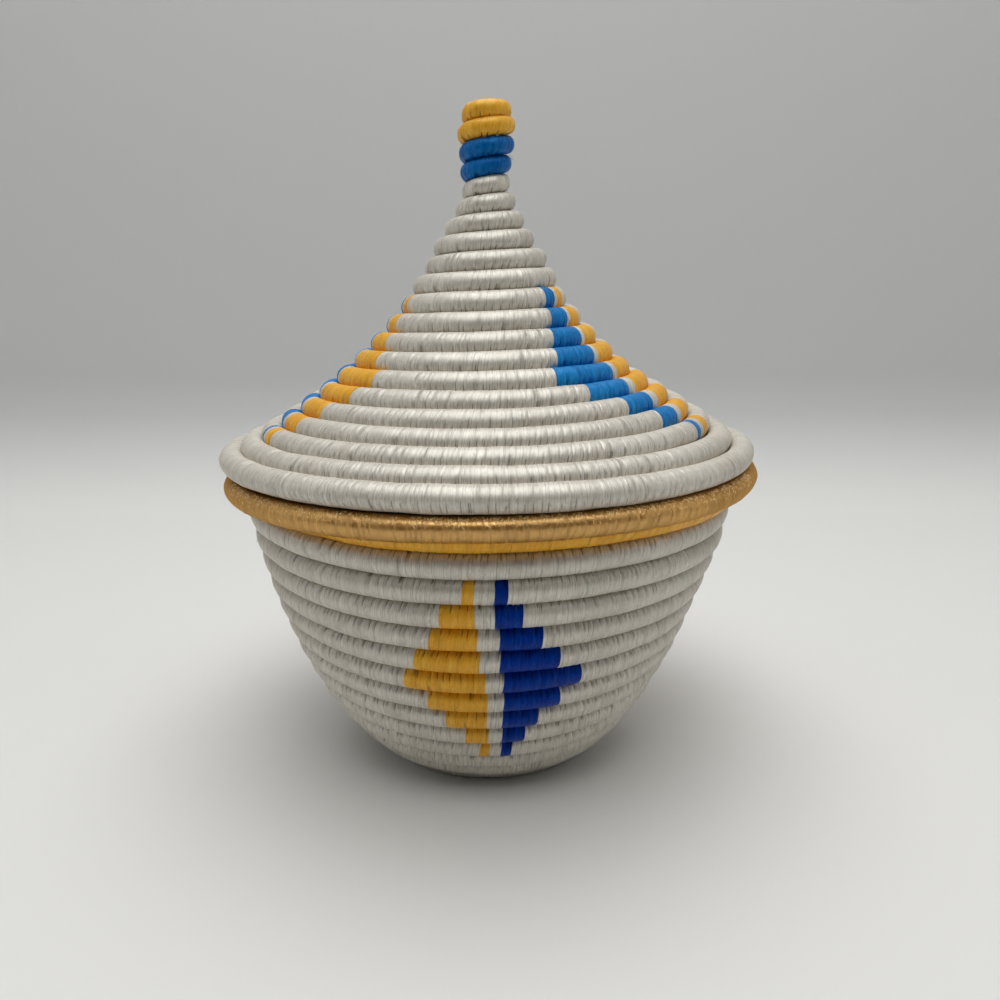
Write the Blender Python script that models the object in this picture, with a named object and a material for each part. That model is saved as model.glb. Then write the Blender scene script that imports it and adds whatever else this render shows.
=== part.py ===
# Lidded coiled basket in the agaseke form: a round bowl and a pointed lid, each sewn from one long coil of
# grass wrapped in sisal. Every round of a coil lies on the round before it, so each wall is a spiral tube.
# Metres, +Z up, origin on the floor under the basket's axis. The front is towards -Y.

import math

import bmesh
import bpy
import numpy as np

# The coil of the bowl and of the lid's skirt, and the thinner ones of the knob and the neck.
COIL_DIAMETER = 0.0096
KNOB_COIL_DIAMETER = 0.0070
NECK_COIL_DIAMETER = 0.0080
ROUND_GAP = 0.0005  # between one round and the next
END_GAP = 0.0003  # between two lengths of coil that meet end to end
SEAT_GAP = 0.0003  # between the closed lid and the rim that it rests on
NECK_PLAY = 0.0010  # least room between the neck and the closed lid

# The bowl's outline, measured to the coil's centre: a flat base, then one curve up to the mouth.
BASE_RADIUS = 0.0431
BASE_CURL = 0.0003  # how softly the base turns up
BOWL_RADIUS = 0.1004
BOWL_HEIGHT = 0.1213
MOUTH_ANGLE = math.radians(80.2)  # steepness of the wall at the mouth
BOWL_BELLY = 0.1006  # how far down the wall keeps the mouth's direction
RIM_ANGLE = math.radians(33.0)  # the rim leans out from the round under it in this direction
RIM_SETTLED = 0.3  # turns before the front by which it does so
NECK_SETBACK = 0.0049  # how far inside the mouth the hidden round lies that keeps the lid from sliding off

# The lid's outline: one hollow curve from the brim up to the knob, then the knob's bulge.
BRIM_OVERHANG = 0.0003  # how far the brim's centre lies outside the rim's
BRIM_ANGLE = math.radians(24.7)
LID_HOLLOW = 0.0952  # how far in the skirt keeps the brim's direction
SKIRT_HEIGHT = 0.1110
SPIRE_HANDLE = 0.0034  # how far the top of the skirt runs straight down from the knob
SPIRE_TAPER = 0.0560  # length of skirt over which the coil thins to the knob's
KNOB_NECK_RADIUS = 0.0063
KNOB_HEIGHT = 0.0272
KNOB_HANDLE = 0.0109  # how far the knob keeps going straight up before it swells
KNOB_SWELL = 0.0068
KNOB_TIP_RADIUS = 0.0026

# Where the lengths of coil begin and end, in turns from the front. The joins are hidden at the back.
BACK = 0.5
BASE_FIRST_ROUND = 0.0055  # radius of the base's first pass at the front
BASE_START_RADIUS = 0.0012
BASE_ROUNDS = 5
RIM_END = 0.46
BRIM_START = -0.42
CONE_ROUNDS = 10
KNOB_COLOUR_ROUNDS = 2
END_TAPER = 0.12  # turns over which a coil that runs out gets thin
BASE_TAPER = 0.75
TIP_TAPER = 0.35
END_THICKNESS = 0.35

# How finely the rounds are drawn. Small rounds take every second point.
POINTS_PER_TURN = 22
SMALL_ROUND_RADIUS = 0.036
CURVE_STEPS = 400

# The underside loses this share of the coil's diameter where the basket stands on it.
FLAT_SHARE = 0.1
FLOOR_CUTTER_DEPTH = 0.020
WELD_DISTANCE = 0.00001
SECTION_HALF_HEIGHT = COIL_DIAMETER / 2 * math.cos(math.radians(30.0))

WHITE_SISAL = ("white_sisal", (0.71, 0.66, 0.59), 0.55)
YELLOW_SISAL = ("yellow_sisal", (0.78, 0.40, 0.045), 0.5)
GOLD_SISAL = ("gold_sisal", (0.58, 0.33, 0.085), 0.42)
BLUE_SISAL = ("blue_sisal", (0.017, 0.188, 0.58), 0.5)


def bezier(start, start_handle, end_handle, end):
    """Points of one cubic curve, as rows of radius and height."""
    t = np.linspace(0.0, 1.0, CURVE_STEPS)[:, None]
    a, b, c, d = (np.array(point) for point in (start, start_handle, end_handle, end))
    return (1 - t) ** 3 * a + 3 * (1 - t) ** 2 * t * b + 3 * (1 - t) * t**2 * c + t**3 * d


def run_lengths(outline):
    """Length along an outline up to each of its points."""
    steps = np.hypot(*np.diff(outline, axis=0).T)
    return np.concatenate([[0.0], np.cumsum(steps)])


def place(outline, lengths, distance):
    """Radius and height at a distance along an outline."""
    return np.array([np.interp(distance, lengths, outline[:, axis]) for axis in (0, 1)])


class Coil:
    """A spiral coil: for each of its points the turn, radius, height, thickness and lean on the round before."""

    def __init__(self, turns, places, thickness):
        self.turn = np.array(turns)
        self.radius, self.height = np.array(places).T
        self.thickness = np.array(thickness)
        across = self.radius[POINTS_PER_TURN:] - self.radius[:-POINTS_PER_TURN]
        rise = self.height[POINTS_PER_TURN:] - self.height[:-POINTS_PER_TURN]
        lean = np.arctan2(rise, across)
        self.lean = np.concatenate([np.resize(lean, POINTS_PER_TURN), lean])

    def taper(self, end_turn, length):
        """Thins the coil evenly towards an end, which stays against the round beside it."""
        share = np.clip(np.abs(self.turn - end_turn) / length, 0.0, 1.0)
        lost = self.thickness * (1.0 - END_THICKNESS) * (1.0 - share)
        self.thickness = self.thickness - lost
        side = 0.5 if end_turn == self.turn[0] else -0.5
        self.radius = self.radius + side * lost * np.cos(self.lean)
        self.height = self.height + side * lost * np.sin(self.lean)

    def points(self):
        angle = 2.0 * math.pi * self.turn
        return np.column_stack([self.radius * np.sin(angle), -self.radius * np.cos(angle), self.height])

    def stretch(self, start, end):
        """Points, thickness and lean from one turn to another, with a cut end wherever the coil goes on."""
        step = np.round(self.turn * POINTS_PER_TURN).astype(int)
        drawn = np.flatnonzero((self.radius >= SMALL_ROUND_RADIUS) | (step % 2 == 0))
        rows = np.column_stack([self.points(), self.thickness, self.lean])[drawn]
        turn = self.turn[drawn]
        inside = np.flatnonzero((turn >= start) & (turn < end))
        first, last = inside[0], inside[-1]
        kept = [rows[inside]]
        if first > 0:
            kept.insert(0, cut_end(rows[first], rows[first - 1])[None, :])
        if last < len(rows) - 1:
            kept.append(cut_end(rows[last], rows[last + 1])[None, :])
        return np.vstack(kept)


def cut_end(inner, outer):
    """A point half an end gap short of the middle between two points of a coil."""
    middle = (inner + outer) / 2.0
    towards = inner[:3] - outer[:3]
    middle[:3] += towards / np.linalg.norm(towards) * END_GAP / 2.0
    return middle


def fitting_thickness(spacing, radius):
    """Thickness of a coil whose rounds climb by a spacing each turn, which leaves the gap between them."""
    return spacing / np.hypot(1.0, spacing / (2.0 * math.pi * radius)) - ROUND_GAP


def resting_height(upper, lower, gap):
    """How far one coil has to be lifted to lie a gap above another, compared at equal angles."""
    upper_step = np.round(upper.turn * POINTS_PER_TURN).astype(int)
    lower_step = np.round(lower.turn * POINTS_PER_TURN).astype(int)
    same = (upper_step[:, None] - lower_step[None, :]) % POINTS_PER_TURN == 0
    reach = (upper.thickness[:, None] + lower.thickness[None, :]) / 2.0 + gap
    across = upper.radius[:, None] - lower.radius[None, :]
    near = same & (np.abs(across) < reach)
    above = np.sqrt(np.where(near, reach**2 - across**2, 0.0))
    lift = lower.height[None, :] + above - upper.height[:, None]
    return float(lift[near].max())


def rest_on(outline, lengths, distance, spacing):
    """How far along an outline its next round lies: a spacing, in a straight line, from one of its rounds."""
    ahead = lengths > distance
    reach = np.hypot(*(outline[ahead] - place(outline, lengths, distance)).T)
    return float(np.interp(spacing, reach, lengths[ahead]))


def bowl_coil():
    """The bowl's whole coil, from the middle of the base to the end of the rim, and its wall's last round."""
    spacing = COIL_DIAMETER + ROUND_GAP
    floor_line = SECTION_HALF_HEIGHT - COIL_DIAMETER * FLAT_SHARE
    belly = (
        BOWL_RADIUS - BOWL_BELLY * math.cos(MOUTH_ANGLE),
        BOWL_HEIGHT - BOWL_BELLY * math.sin(MOUTH_ANGLE),
    )
    base = np.linspace((0.0, floor_line), (BASE_RADIUS, floor_line), CURVE_STEPS)
    wall = bezier(base[-1], (BASE_RADIUS + BASE_CURL, floor_line), belly, (BOWL_RADIUS, BOWL_HEIGHT))
    outline = np.vstack([base, wall[1:]])
    lengths = run_lengths(outline)
    step = math.ceil((BASE_START_RADIUS - BASE_FIRST_ROUND) / spacing * POINTS_PER_TURN)
    turns, distances, places = [], [], []
    distance = BASE_FIRST_ROUND + spacing * step / POINTS_PER_TURN
    while distance < lengths[-1]:
        turns.append(step / POINTS_PER_TURN)
        distances.append(distance)
        places.append(place(outline, lengths, distance))
        step += 1
        if len(turns) < POINTS_PER_TURN:
            distance += spacing / POINTS_PER_TURN
        else:
            distance = rest_on(outline, lengths, distances[-POINTS_PER_TURN], spacing)
    wall_rounds = round(turns[-1])
    rim_front = wall_rounds + 1
    mouth = turns[-1]
    settled = rim_front - RIM_SETTLED
    while step <= round((rim_front + RIM_END) * POINTS_PER_TURN):
        turns.append(step / POINTS_PER_TURN)
        share = min(1.0, (turns[-1] - mouth) / (settled - mouth))
        lean = MOUTH_ANGLE + (RIM_ANGLE - MOUTH_ANGLE) * share
        places.append(places[-POINTS_PER_TURN] + spacing * np.array([math.cos(lean), math.sin(lean)]))
        step += 1
    coil = Coil(turns, places, fitting_thickness(spacing, np.array(places)[:, 0]))
    coil.taper(turns[0], BASE_TAPER)
    coil.taper(turns[-1], END_TAPER)
    return coil, wall_rounds


def neck_coil(bowl):
    """One level round inside the mouth, as low as the rounds under it let it lie."""
    radius = BOWL_RADIUS - NECK_SETBACK
    opening = (NECK_COIL_DIAMETER + ROUND_GAP) / (2.0 * math.pi * radius)
    turns = np.linspace(opening / 2.0 - BACK, BACK - opening / 2.0, POINTS_PER_TURN + 1)
    places = np.tile([radius, 0.0], (len(turns), 1))
    coil = Coil(turns, places, np.full(len(turns), NECK_COIL_DIAMETER))
    coil.height += resting_height(coil, bowl, ROUND_GAP)
    return coil


def lid_coil(brim_radius):
    """The lid's whole coil, from the brim up to the tip of the knob, and the turn at which the knob begins.

    Its heights are counted from the front of the brim."""
    knob_top = SKIRT_HEIGHT + KNOB_HEIGHT
    hollow = (brim_radius - LID_HOLLOW * math.cos(BRIM_ANGLE), LID_HOLLOW * math.sin(BRIM_ANGLE))
    neck = (KNOB_NECK_RADIUS, SKIRT_HEIGHT)
    skirt = bezier((brim_radius, 0.0), hollow, (KNOB_NECK_RADIUS, SKIRT_HEIGHT - SPIRE_HANDLE), neck)
    knob = bezier(
        neck,
        (KNOB_NECK_RADIUS, SKIRT_HEIGHT + KNOB_HANDLE),
        (KNOB_NECK_RADIUS + KNOB_SWELL, knob_top),
        (KNOB_TIP_RADIUS, knob_top),
    )
    wide = COIL_DIAMETER + ROUND_GAP
    thin = KNOB_COIL_DIAMETER + ROUND_GAP
    tail = (brim_radius + wide * math.cos(BRIM_ANGLE), -wide * math.sin(BRIM_ANGLE))
    outline = np.vstack([np.linspace(tail, skirt[0], CURVE_STEPS), skirt[1:], knob[1:]])
    lengths = run_lengths(outline) - wide
    skirt_length = lengths[2 * CURVE_STEPS - 2]
    taper = (skirt_length - SPIRE_TAPER, skirt_length)
    step = math.ceil(BRIM_START * POINTS_PER_TURN)
    turns, distances, places = [], [], []
    distance = wide * step / POINTS_PER_TURN
    while distance < lengths[-1]:
        turns.append(step / POINTS_PER_TURN)
        distances.append(distance)
        places.append(place(outline, lengths, distance))
        step += 1
        if len(turns) < POINTS_PER_TURN:
            distance += wide / POINTS_PER_TURN
        else:
            before = distances[-POINTS_PER_TURN]
            spacing = np.interp(before + thin / 2.0, taper, (wide, thin))
            distance = rest_on(outline, lengths, before, spacing)
    knob_turn = np.interp(skirt_length, distances, turns)
    spacings = np.interp(distances, taper, (wide, thin))
    coil = Coil(turns, places, fitting_thickness(spacings, np.array(places)[:, 0]))
    coil.taper(turns[0], END_TAPER)
    coil.taper(turns[-1], TIP_TAPER)
    return coil, round(knob_turn - BACK) + BACK


def least_gap(rows):
    """The least room between parts of one tube that lie a quarter turn or more apart."""
    centres, thickness = rows[:, :3], rows[:, 3]
    apart = np.linalg.norm(centres[:, None] - centres[None, :], axis=2)
    apart -= (thickness[:, None] + thickness[None, :]) / 2.0
    steps = np.arange(len(rows))
    far = np.abs(steps[:, None] - steps[None, :]) >= POINTS_PER_TURN // 4
    return float(apart[far].min())


def sisal(finish):
    name, colour, roughness = finish
    material = bpy.data.materials.get(name) or bpy.data.materials.new(name)
    material.use_nodes = True
    shader = material.node_tree.nodes["Principled BSDF"]
    shader.inputs["Base Color"].default_value = (*colour, 1.0)
    shader.inputs["Roughness"].default_value = roughness
    shader.inputs["Metallic"].default_value = 0.0
    material.diffuse_color = (*colour, 1.0)
    return material


def tube(name, rows, finish, collection, parent):
    """One length of coil as a tube, six-sided, with a corner towards the rounds beside it."""
    widest = rows[:, 3].max()
    curve = bpy.data.curves.new(name, "CURVE")
    curve.dimensions = "3D"
    curve.twist_mode = "Z_UP"
    curve.bevel_depth = widest / 2.0
    curve.bevel_resolution = 1
    curve.use_fill_caps = True
    spline = curve.splines.new("POLY")
    spline.points.add(len(rows) - 1)
    for point, (x, y, z, thickness, lean) in zip(spline.points, rows):
        point.co = (x, y, z, 1.0)
        point.radius = thickness / widest
        point.tilt = -lean
    curve.materials.append(sisal(finish))
    part = bpy.data.objects.new(name, curve)
    collection.objects.link(part)
    part.parent = parent
    print(f"{name}: least gap to itself {least_gap(rows) * 1000:.2f} mm")
    return part


def as_mesh(part):
    """Replaces a tube by its mesh with the caps welded on, so that it can be cut."""
    bpy.context.view_layer.update()
    evaluated = part.evaluated_get(bpy.context.evaluated_depsgraph_get())
    mesh = bpy.data.meshes.new_from_object(evaluated)
    name, collection, parent, matrix = part.name, part.users_collection[0], part.parent, part.matrix_world.copy()
    bpy.data.objects.remove(part)
    shape = bmesh.new()
    shape.from_mesh(mesh)
    bmesh.ops.remove_doubles(shape, verts=shape.verts, dist=WELD_DISTANCE)
    shape.to_mesh(mesh)
    shape.free()
    solid = bpy.data.objects.new(name, mesh)
    collection.objects.link(solid)
    solid.parent = parent
    solid.matrix_world = matrix
    return solid


def cut_flat(part, collection):
    """Takes off what a tube has below the floor, so that it stands on flat faces."""
    solid = as_mesh(part)
    width = 3.0 * BASE_RADIUS
    bpy.ops.mesh.primitive_cube_add(size=1.0, location=(0.0, 0.0, -FLOOR_CUTTER_DEPTH / 2.0))
    cutter = bpy.context.active_object
    cutter.name = "floor_cutter"
    cutter.scale = (width, width, FLOOR_CUTTER_DEPTH)
    cutter.hide_render = True
    cutter.display_type = "WIRE"
    for holder in cutter.users_collection:
        holder.objects.unlink(cutter)
    collection.objects.link(cutter)
    cut = solid.modifiers.new("floor", "BOOLEAN")
    cut.operation = "DIFFERENCE"
    cut.solver = "EXACT"
    cut.object = cutter
    return solid


for old in list(bpy.data.objects):
    bpy.data.objects.remove(old)
parts = bpy.data.collections.new("agaseke_basket")
cutters = bpy.data.collections.new("cutters")
for collection in (parts, cutters):
    bpy.context.scene.collection.children.link(collection)

bowl, wall_rounds = bowl_coil()
rim_front = int(np.argmin(np.abs(bowl.turn - (wall_rounds + 1))))
lid, knob_start = lid_coil(bowl.radius[rim_front] + BRIM_OVERHANG)
neck = neck_coil(bowl)
lid_height = max(resting_height(lid, bowl, SEAT_GAP), resting_height(lid, neck, NECK_PLAY))

bowl_frame = bpy.data.objects.new("bowl", None)
lid_frame = bpy.data.objects.new("lid", None)
lid_frame.location.z = lid_height
for frame in (bowl_frame, lid_frame):
    parts.objects.link(frame)

START, END = -math.inf, math.inf
base_end = BASE_ROUNDS - BACK
wall_end = wall_rounds - BACK
cone_end = CONE_ROUNDS + BACK
blue_end = knob_start + KNOB_COLOUR_ROUNDS
BOWL_LENGTHS = (
    ("bowl_base_coil", START, base_end, WHITE_SISAL),
    ("bowl_wall_coil", base_end, wall_end, WHITE_SISAL),
    ("bowl_yellow_coil", wall_end, wall_end + 1.0, YELLOW_SISAL),
    ("bowl_rim_coil", wall_end + 1.0, END, GOLD_SISAL),
)
LID_LENGTHS = (
    ("lid_brim_coil", START, BACK, WHITE_SISAL),
    ("lid_cone_coil", BACK, cone_end, WHITE_SISAL),
    ("lid_spire_coil", cone_end, knob_start, WHITE_SISAL),
    ("knob_blue_coil", knob_start, blue_end, BLUE_SISAL),
    ("knob_yellow_coil", blue_end, END, YELLOW_SISAL),
)
made = {}
for coil, frame, lengths in ((bowl, bowl_frame, BOWL_LENGTHS), (lid, lid_frame, LID_LENGTHS)):
    for name, start, end, finish in lengths:
        made[name] = tube(name, coil.stretch(start, end), finish, parts, frame)
made["bowl_neck_coil"] = tube("bowl_neck_coil", neck.stretch(START, END), WHITE_SISAL, parts, bowl_frame)
cut_flat(made["bowl_base_coil"], cutters)
print(f"the closed lid stands {lid_height * 1000:.2f} mm up, and its knob begins at round {knob_start}")
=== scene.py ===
# A lidded basket sewn from two long coils of grass wrapped in sisal, standing on a pale studio sweep.
# Lengths of the basket are in millimetres, and those of the studio and camera in metres. A turn is one round
# of a coil, a whole number at the front, and it grows towards the right.
import math

import bpy
import numpy as np
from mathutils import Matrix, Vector


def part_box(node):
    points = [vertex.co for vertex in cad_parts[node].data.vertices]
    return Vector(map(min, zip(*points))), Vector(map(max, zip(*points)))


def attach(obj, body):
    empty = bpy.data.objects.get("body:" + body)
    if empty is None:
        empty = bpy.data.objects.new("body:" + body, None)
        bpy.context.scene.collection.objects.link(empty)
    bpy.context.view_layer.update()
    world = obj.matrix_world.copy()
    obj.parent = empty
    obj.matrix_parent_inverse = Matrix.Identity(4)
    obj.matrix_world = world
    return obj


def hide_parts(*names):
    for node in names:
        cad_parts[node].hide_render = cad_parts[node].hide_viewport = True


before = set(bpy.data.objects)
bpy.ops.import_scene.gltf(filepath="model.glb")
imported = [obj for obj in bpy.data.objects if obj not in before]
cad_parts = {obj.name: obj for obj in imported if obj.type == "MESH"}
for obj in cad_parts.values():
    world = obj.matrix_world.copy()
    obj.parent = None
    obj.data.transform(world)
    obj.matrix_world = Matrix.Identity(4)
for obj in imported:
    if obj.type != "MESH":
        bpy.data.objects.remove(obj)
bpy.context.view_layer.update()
rng = np.random.default_rng(11)
mm = 0.001


# The two coils' paths: the frame's sizes, and then how handwork pushes the rounds off that shape
stepsPerTurn = 88
frameStepsPerTurn = 22  # a coil starts on one of the frame's own steps
curvePoints = 800
linePoints = 400

bowlCoil = {
    "thickness": 9.6,
    "gap": 0.5,  # the frame leaves this between rounds, and the sisal here fills it
    "sectionHalf": 4.157,
    "flatShare": 0.1,
    "baseRadius": 43.1,
    "baseCurl": 0.3,
    "mouthRadius": 100.4,
    "mouthHeight": 121.3,
    "mouthAngle": 80.2,  # degrees from level
    "belly": 100.6,
    "rimAngle": 33.0,
    "rimSettled": 0.3,  # turns before the rim's front, from where it lies at its angle
    "firstRound": 5.5,
    "startRadius": 1.2,
    "rimEnd": 0.46,
    # the wall's rounds lie higher on the left, and press the yellow round in behind the rim there
    "rise": 4.6,
    "riseFrom": 45.0,  # along the outline, from the middle of the base
    "riseOver": 50.0,
    "yellowRise": 0.65,
    "tuck": 1.5,
    "squeeze": 0.4,
    # a bulge is given as turns, and then as millimetres out at each of them
    "rightBulge": ((5.0, 7.0, 12.0, 14.0, 15.2, 17.2, 17.7), (0.0, -1.6, -1.3, 0.2, 1.3, 1.0, -0.6)),
}
lidCoil = {
    "thickness": 9.6,
    "knobThickness": 7.0,
    "gap": 0.5,
    "closedHeight": 136.65,  # where the brim comes to rest on the rim
    "overhang": 0.3,
    "brimAngle": 24.7,
    "hollow": 95.2,
    "skirtHeight": 111.0,
    "spireHandle": 3.4,
    "spireTaper": 56.0,
    "knobNeck": 6.3,
    "knobHeight": 27.2,
    "knobHandle": 10.9,
    "knobSwell": 6.8,
    "tipRadius": 2.6,
    "brimStart": -0.42,
    "aside": 1.7,  # the outer rounds lie a little to the right of the tip
    "asideTurns": 5.5,
    "leftBulge": (
        (9.75, 10.75, 11.75, 12.75, 13.75, 14.75, 15.75, 16.25, 16.75, 17.75, 18.25),
        (0.0, 0.6, 0.7, 1.7, 1.0, -0.3, -0.4, 0.4, 1.2, 0.4, 0.0),
    ),
    "rightBulge": ((9.25, 10.25, 11.25, 12.25, 13.25, 14.25, 15.25), (0.0, -0.3, 1.2, 2.2, 0.9, 0.7, 0.0)),
    "rightRise": ((0.25, 1.25, 2.25, 3.25, 4.25, 5.25, 6.25, 7.5), (0.6, 1.2, 2.2, 2.5, 2.2, 1.0, 0.3, 0.0)),
    # the last round keeps its width past the front, then turns in and closes the tip
    "tipExtra": 0.33,
    "tipWiden": ((19.3, 19.75, 20.0, 20.2, 20.33, 20.45), (0.0, -0.2, 2.4, 3.6, 3.2, 0.6)),
}
ends = {"taper": 0.12, "baseTaper": 0.75, "tipTaper": 0.15, "thinnest": 0.35}  # turns, share of the coil
sides = {"reach": 85.0, "left": -85.0, "right": 85.0}  # degrees round the basket from the front


def bezier(start, startHandle, endHandle, end):
    t = np.linspace(0.0, 1.0, curvePoints)[:, None]
    a, b, c, d = (np.array(point) for point in (start, startHandle, endHandle, end))
    return (1 - t) ** 3 * a + 3 * (1 - t) ** 2 * t * b + 3 * (1 - t) * t**2 * c + t**3 * d


def runLengths(outline):
    return np.concatenate([[0.0], np.cumsum(np.hypot(*np.diff(outline, axis=0).T))])


def placeAt(outline, lengths, distance):
    return np.array([np.interp(distance, lengths, outline[:, axis]) for axis in (0, 1)])


def restOn(outline, lengths, distance, spacing):
    # where along the outline the next round lies, at a straight spacing from the one at distance
    ahead = lengths > distance
    reach = np.hypot(*(outline[ahead] - placeAt(outline, lengths, distance)).T)
    return float(np.interp(spacing, reach, lengths[ahead]))


def direction(degrees):
    return np.array([math.cos(math.radians(degrees)), math.sin(math.radians(degrees))])


def finishPath(turns, places, spacing, gap, startTaper, endTaper):
    # half is the coil's radius once the sisal fills the gap, and lean the way from one round to the next
    turns, places = np.array(turns), np.array(places)
    step = places[stepsPerTurn:] - places[:-stepsPerTurn]
    lean = np.arctan2(step[:, 1], step[:, 0])
    lean = np.concatenate([lean[:stepsPerTurn], lean])
    radius, height = places.T
    half = spacing / np.hypot(1.0, spacing / (2.0 * math.pi * radius)) / 2.0
    path = {"turn": turns, "radius": radius, "height": height, "half": half, "lean": lean, "gap": gap}
    path["aside"] = np.zeros(len(turns))
    for endTurn, taper, side in ((turns[0], startTaper, 0.5), (turns[-1], endTaper, -0.5)):
        share = np.clip(np.abs(turns - endTurn) / taper, 0.0, 1.0)
        lost = (2.0 * half - gap) * (1.0 - ends["thinnest"]) * (1.0 - share)
        path["half"] = path["half"] - lost / 2.0
        path["radius"] = path["radius"] + side * lost * np.cos(lean)
        path["height"] = path["height"] + side * lost * np.sin(lean)
    x = path["radius"] * np.sin(2 * math.pi * turns)
    y = path["radius"] * np.cos(2 * math.pi * turns)
    steps = np.sqrt(np.diff(x) ** 2 + np.diff(y) ** 2 + np.diff(path["height"]) ** 2)
    path["arc"] = np.concatenate([[0.0], np.cumsum(steps)])
    return path


def sideShare(turn, side):
    # 1 in the middle of the left or right side, 0 at the front, at the back and on the other side
    away = np.abs((turn * 360.0 - sides[side] + 180.0) % 360.0 - 180.0) / sides["reach"]
    return np.cos(np.minimum(away, 1.0) * math.pi / 2.0) ** 2


def bowlPath(size):
    spacing = size["thickness"] + size["gap"]
    floorLine = size["sectionHalf"] - size["thickness"] * size["flatShare"]
    mouth = np.array([size["mouthRadius"], size["mouthHeight"]])
    belly = mouth - size["belly"] * direction(size["mouthAngle"])
    base = np.linspace((0.0, floorLine), (size["baseRadius"], floorLine), linePoints)
    wall = bezier(base[-1], (size["baseRadius"] + size["baseCurl"], floorLine), belly, mouth)
    outline = np.vstack([base, wall[1:]])
    lengths = runLengths(outline)
    step = math.ceil((size["startRadius"] - size["firstRound"]) / spacing * frameStepsPerTurn)
    step *= stepsPerTurn // frameStepsPerTurn
    turns, distances, places = [], [], []
    distance = size["firstRound"] + spacing * step / stepsPerTurn
    while distance < lengths[-1]:
        turns.append(step / stepsPerTurn)
        distances.append(distance)
        places.append(placeAt(outline, lengths, distance))
        step += 1
        if len(turns) < stepsPerTurn:
            distance += spacing / stepsPerTurn
        else:
            distance = restOn(outline, lengths, distances[-stepsPerTurn], spacing)
    mouthTurn, rimTurn = turns[-1], round(turns[-1]) + 1
    while step <= round((rimTurn + size["rimEnd"]) * stepsPerTurn):
        turns.append(step / stepsPerTurn)
        share = min(1.0, (turns[-1] - mouthTurn) / (rimTurn - size["rimSettled"] - mouthTurn))
        lean = size["mouthAngle"] + (size["rimAngle"] - size["mouthAngle"]) * share
        places.append(places[-stepsPerTurn] + spacing * direction(lean))
        step += 1
    path = finishPath(turns, places, spacing, size["gap"], ends["baseTaper"], ends["taper"])
    yellowStart, yellowEnd = rimTurn - 1.5, rimTurn - 0.5  # from back to back
    for i, turn in enumerate(turns):
        left = sideShare(turn, "left")
        path["radius"][i] += sideShare(turn, "right") * np.interp(turn, *size["rightBulge"])
        rise = 0.0
        if turn < yellowStart:
            climbed = min(1.0, max(0.0, (distances[i] - size["riseFrom"]) / size["riseOver"]))
            rise = size["rise"] * left * climbed
        elif turn < yellowEnd:
            rise = size["rise"] * left * size["yellowRise"]
            path["radius"][i] -= size["tuck"] * left
            path["half"][i] -= size["squeeze"] * left
        path["radius"][i] += rise * math.cos(path["lean"][i])
        path["height"][i] += rise * math.sin(path["lean"][i])
    return path, rimTurn


def lidPath(size, brimRadius):
    skirtTop = size["skirtHeight"]
    knobTop = skirtTop + size["knobHeight"]
    neck = (size["knobNeck"], skirtTop)
    slope = direction(size["brimAngle"])
    hollow = (brimRadius - size["hollow"] * slope[0], size["hollow"] * slope[1])
    skirt = bezier((brimRadius, 0.0), hollow, (size["knobNeck"], skirtTop - size["spireHandle"]), neck)
    waist = (size["knobNeck"], skirtTop + size["knobHandle"])
    swell = (size["knobNeck"] + size["knobSwell"], knobTop)
    knob = bezier(neck, waist, swell, (size["tipRadius"], knobTop))
    wide = size["thickness"] + size["gap"]
    thin = size["knobThickness"] + size["gap"]
    tail = (brimRadius + wide * slope[0], -wide * slope[1])
    outline = np.vstack([np.linspace(tail, skirt[0], linePoints), skirt[1:], knob[1:]])
    lengths = runLengths(outline) - wide
    skirtLength = lengths[linePoints + curvePoints - 2]
    taper = (skirtLength - size["spireTaper"], skirtLength)
    step = math.ceil(size["brimStart"] * frameStepsPerTurn) * (stepsPerTurn // frameStepsPerTurn)
    turns, distances, places = [], [], []
    distance = wide * step / stepsPerTurn
    while distance < lengths[-1]:
        turns.append(step / stepsPerTurn)
        distances.append(distance)
        places.append(placeAt(outline, lengths, distance) + np.array([0.0, size["closedHeight"]]))
        step += 1
        if len(turns) < stepsPerTurn:
            distance += wide / stepsPerTurn
        else:
            before = distances[-stepsPerTurn]
            distance = restOn(outline, lengths, before, np.interp(before + thin / 2.0, taper, (wide, thin)))
    for _ in range(round(size["tipExtra"] * stepsPerTurn)):
        turns.append(turns[-1] + 1.0 / stepsPerTurn)
        distances.append(distances[-1])
        places.append(places[-1])
    places = np.array(places)
    places[:, 0] += np.interp(turns, *size["tipWiden"])
    spacing = np.interp(distances, taper, (wide, thin))
    path = finishPath(turns, places, spacing, size["gap"], ends["taper"], ends["tipTaper"])
    path["radius"] += sideShare(path["turn"], "left") * np.interp(path["turn"], *size["leftBulge"])
    path["radius"] += sideShare(path["turn"], "right") * np.interp(path["turn"], *size["rightBulge"])
    path["height"] += sideShare(path["turn"], "right") * np.interp(path["turn"], *size["rightRise"])
    path["aside"] = np.interp(path["turn"], (0.0, size["asideTurns"]), (size["aside"], 0.0))
    return path


bowl, rimTurn = bowlPath(bowlCoil)
lid = lidPath(lidCoil, float(np.interp(rimTurn, bowl["turn"], bowl["radius"])) + lidCoil["overhang"])
print("coil paths:", round(bowl["arc"][-1]), "mm in the bowl and", round(lid["arc"][-1]), "mm in the lid")


# Sisal and its dyes
def hexToLinear(text):
    # the sRGB standard's own curve
    values = [int(text[i : i + 2], 16) / 255.0 for i in (1, 3, 5)]
    linear = [v / 12.92 if v <= 0.04045 else ((v + 0.055) / 1.055) ** 2.4 for v in values]
    return (*linear, 1.0)


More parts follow.
